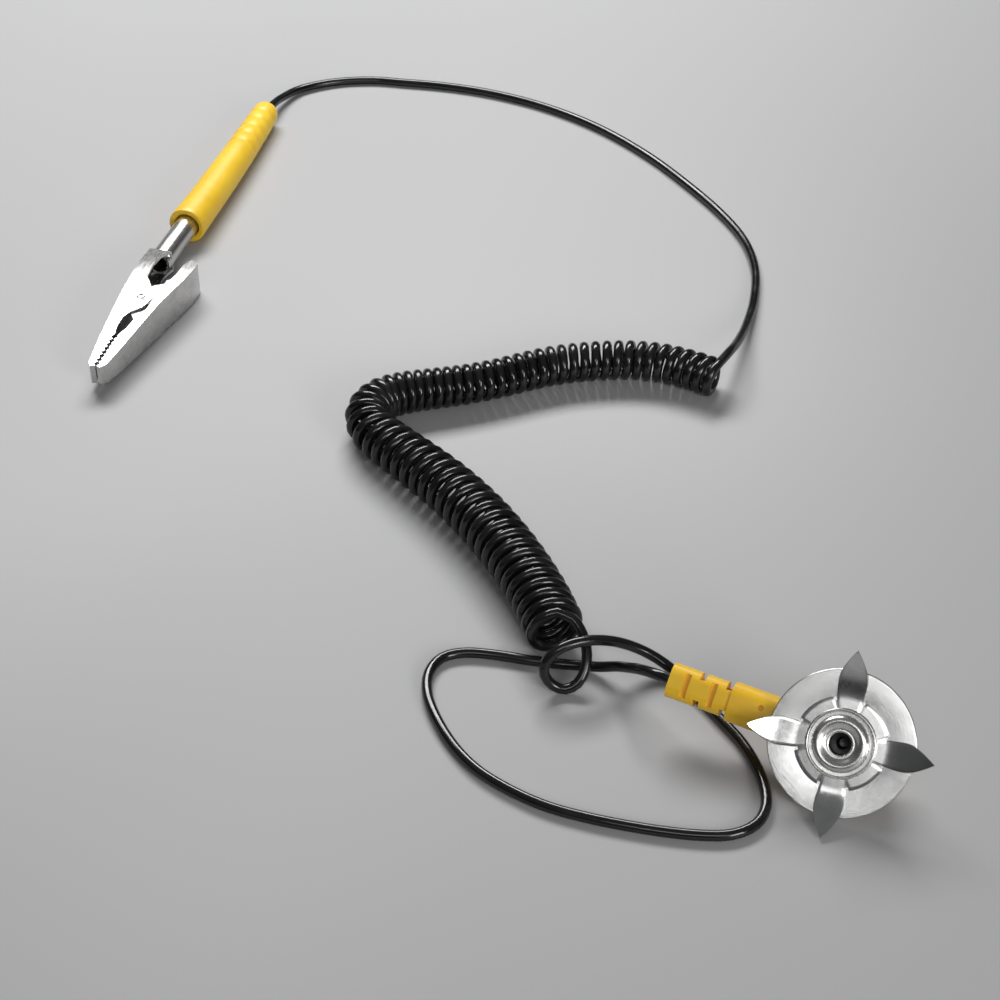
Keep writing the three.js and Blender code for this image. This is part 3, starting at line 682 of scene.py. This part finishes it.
def make_disc():
    """The thin back disc, flat to the bend and dished forwards from there to its rounded rim."""
    half = (DISC_FRONT - DISC_BACK) / 2
    rim = arc(DISC_RADIUS - half, DISC_BACK + DISC_DISH + half, half, -86, 94, 10)
    profile = [(PLATE_HOLE_RADIUS, DISC_BACK), (DISC_BEND_RADIUS, DISC_BACK), *rim,
               (DISC_BEND_RADIUS, DISC_FRONT), (DISC_BEND_RADIUS - 0.4, DISC_FRONT - 0.01),
               (PLATE_HOLE_RADIUS, DISC_FRONT - 0.01)]
    fit_on_snap(turned("back_disc", profile, 160), "contact_disc", DISC_STEEL)


def make_claws():
    """The clawed plate: a flat ring with small notches, and four leaves that curve away."""
    step = 2 * math.pi / CLAW_PLATE_SIDES
    reach = (CLAW_HALF_SIDES + 0.01) * step
    bpy.ops.object.select_all(action="DESELECT")
    bpy.ops.mesh.primitive_circle_add(vertices=CLAW_PLATE_SIDES, radius=PLATE_HOLE_RADIUS)
    piece = bpy.context.object
    piece.name = "claws"
    edit(piece)
    bpy.ops.mesh.select_all(action="SELECT")
    radius = PLATE_HOLE_RADIUS
    for next_radius in (5.2, 7.9, CLAW_RING_RADIUS):
        grow_edges((0, 0, 0), (next_radius / radius, next_radius / radius, 1), (0, 0, 0))
        radius = next_radius

    def turn_of(place):
        return math.atan2(place.y, place.x)

    bpy.ops.mesh.select_mode(type="FACE")
    quarter = math.pi / 2
    for i in range(4):
        side = i * quarter

        def notch(place):
            away = abs((turn_of(place) - side + math.pi) % (2 * math.pi) - math.pi)
            return place.xy.length > 7.9 and reach < away < reach + step
        choose(piece, "faces", notch)
        bpy.ops.mesh.delete(type="FACE")

    bpy.ops.mesh.select_mode(type="EDGE")
    choose(piece, "edges",
           lambda p: abs(turn_of(p)) < reach - 0.25 * step and p.xy.length > CLAW_RING_RADIUS - 0.05)
    stations = [(9.4, 2.5), (10.4, 2.62), (11.5, 2.66), (12.6, 2.5), (13.7, 2.12), (14.7, 1.62),
                (15.6, 1.08), (16.4, 0.55), (CLAW_TIP_RADIUS, 0.06)]
    x, width, rise = CLAW_RING_RADIUS, CLAW_RING_RADIUS * math.sin(CLAW_HALF_SIDES * step), 0.0
    for next_x, next_width in stations:
        share = (next_x - CLAW_RING_RADIUS) / (CLAW_TIP_RADIUS - CLAW_RING_RADIUS)
        next_rise = CLAW_RISE * share ** 1.5
        flatten = 0.35 if next_x < 10 else 0
        grow_edges((next_x - x, 0, next_rise - rise), (flatten, next_width / width, 1),
                   (next_x, 0, next_rise))
        x, width, rise = next_x, next_width, next_rise
    bpy.ops.mesh.select_mode(type="FACE")
    for i in range(3):
        choose(piece, "faces", lambda p: abs(turn_of(p)) < 0.5 and p.xy.length > CLAW_RING_RADIUS - 0.02)
        bpy.ops.mesh.duplicate()
        bpy.ops.transform.rotate(value=quarter * (i + 1), orient_axis="Z", center_override=(0, 0, 0))
    leave()
    mend(piece)
    raised = Matrix.Translation((0, 0, CLAW_PLATE_MIDDLE))
    piece.data.transform(raised @ Matrix.Rotation(CLAW_PHASE, 4, "Z"))
    modify(piece, "SOLIDIFY", thickness=CLAW_PLATE_THICKNESS, offset=0, use_even_offset=True)
    mend(piece)
    modify(piece, "BEVEL", width=0.07, segments=2, limit_method="ANGLE", angle_limit=math.radians(50))
    smooth(piece, 40)
    fit_on_snap(piece, "claw_plate", CLAW_STEEL)


def make_bead_washer():
    bead = arc(6.15, 5.9, 0.3, -60, 200, 12)
    profile = [(PLATE_HOLE_RADIUS, 5.55), (6.1, 5.55), (6.3, 5.6), *bead,
               (5.6, 5.78), (4, 5.78), (PLATE_HOLE_RADIUS, 5.78)]
    fit_on_snap(turned("bead_ring", profile, 120), "bead_washer", SNAP_NICKEL)


def make_eyelet():
    """The rolled eyelet: outer lip, domed crown, dished middle, small inner lip and barrel."""
    outer = [(5.2, 5.95), (5.25, 6.15), (5.22, 6.45), (5.1, 6.8), (4.9, 7.1), (4.62, 7.33),
             (4.3, 7.44), (4.0, 7.44), (3.7, 7.34), (3.4, 7.16), (3.1, 6.94), (2.85, 6.78),
             (2.65, 6.72), (2.45, 6.74), (2.25, 6.76), (2.1, 6.68), (2.0, 6.5), (2.0, 5.5), (2.0, 4.3)]
    inner = [(2.4, 4.3), (2.4, 6.1), (2.6, 6.4), (3.1, 6.62), (3.6, 6.9), (4.1, 7.08),
             (4.5, 6.9), (4.75, 6.5), (4.85, 5.95)]
    fit_on_snap(turned("eyelet", outer + inner, 112), "stud_eyelet", SNAP_NICKEL)


def make_stud():
    """The hollow stud: a flange that bears on the disc, a neck and a ball that the socket grips."""
    outside = [(1.1, 4.0), (1.35, 4.05), (4.4, 4.05), (4.55, 4.0), (4.6, 3.9), (4.55, 3.8),
               (4.4, 3.75), (1.6, 3.75), (1.47, 3.6), (1.45, 3.2), (1.45, 2.6), (1.55, 2.35)]
    ball = arc(0.95, 1.35, 0.88, 50, -90, 12)
    inside = [(0.05, 0.47), (0.05, 0.75), (0.8, 0.8), (1.0, 1.3), (1.1, 2.0)]
    fit_on_snap(turned("stud", outside + ball + inside, 64), "stud_post", SNAP_NICKEL)


def make_socket():
    profile = [(0.85, -1.3), (2.95, -1.3), (3.1, -1.15), (3.1, 3.1), (3.05, 3.3), (2.9, 3.4),
               (2.45, 3.4), (2.32, 3.32), (2.3, 3.15), (2.4, 3.05), (2.7, 2.95), (2.7, -0.8),
               (2.6, -0.9), (0.85, -0.9)]
    piece = turned("socket_cup", profile, 80)
    fit_on_snap(piece, "snap_socket", SNAP_NICKEL, "root")


KEPT_NODES = {
    "clip_conductor": BARE_COPPER, "head_conductor": BARE_COPPER,
    "crimp_ferrule": TINNED, "resistor_lead_in": TINNED, "resistor_body": LACQUER,
    "resistor_lead_out": TINNED, "solder_tab": TINNED, "socket_ring_spring": SPRING_STEEL,
    "socket_rivet": SNAP_NICKEL,
}


def dress_kept_nodes():
    for name, material in KEPT_NODES.items():
        dress(frame["nodes"][name], material)


# ---------------------------------------------------------------- bench and light
def make_bench():
    bpy.ops.object.select_all(action="DESELECT")
    bpy.ops.mesh.primitive_plane_add(size=6, location=(0, 0, 0))
    bench = bpy.context.object
    bench.name = "bench"
    material = finish("pale_bench", (0.42, 0.42, 0.425), 0.5)
    vary(material, grain(material, place_on(material), 3, 2), "Roughness", 0.42, 0.55)
    dress(bench, material)


def softbox(name, place, aim, width, height, power):
    light = bpy.data.lights.new(name, "AREA")
    light.shape = "RECTANGLE"
    light.size = width
    light.size_y = height
    light.energy = power
    box = bpy.data.objects.new(name, light)
    bpy.context.scene.collection.objects.link(box)
    box.location = place
    box.rotation_euler = (Vector(aim) - Vector(place)).to_track_quat("-Z", "Y").to_euler()


def make_light():
    softbox("back_box", (-0.08, 0.43, 0.46), (-0.02, 0.22, 0), 0.5, 0.2, 4.4)
    softbox("right_box", (0.48, -0.7, 0.36), (0.05, -0.1, 0), 0.3, 0.3, 2.8)
    softbox("front_box", (0.03, -0.757, 0.64), (0.07, -0.11, 0.01), 0.56, 0.2, 1.2)
    world = bpy.data.worlds.new("studio")
    world.use_nodes = True
    nodes, links = world.node_tree.nodes, world.node_tree.links
    background = nodes["Background"]
    split = nodes.new("ShaderNodeSeparateXYZ")
    links.new(nodes.new("ShaderNodeTexCoord").outputs["Generated"], split.inputs["Vector"])
    ramp = nodes.new("ShaderNodeValToRGB")
    ramp.color_ramp.elements[0].position = 0.0
    ramp.color_ramp.elements[0].color = (0.1, 0.1, 0.104, 1)
    ramp.color_ramp.elements[1].position = 0.9
    ramp.color_ramp.elements[1].color = (0.6, 0.61, 0.63, 1)
    links.new(split.outputs["Z"], ramp.inputs["Fac"])
    links.new(ramp.outputs["Color"], background.inputs["Color"])
    background.inputs["Strength"].default_value = 0.22
    bpy.context.scene.world = world
    bpy.context.scene.view_settings.view_transform = "Standard"


make_camera()
make_cord()
make_boot()
make_jaws()
make_rivet()
make_spring()
make_head()
make_disc()
make_claws()
make_bead_washer()
make_eyelet()
make_stud()
make_socket()
dress_kept_nodes()
make_bench()
make_light()

bpy.context.view_layer.update()
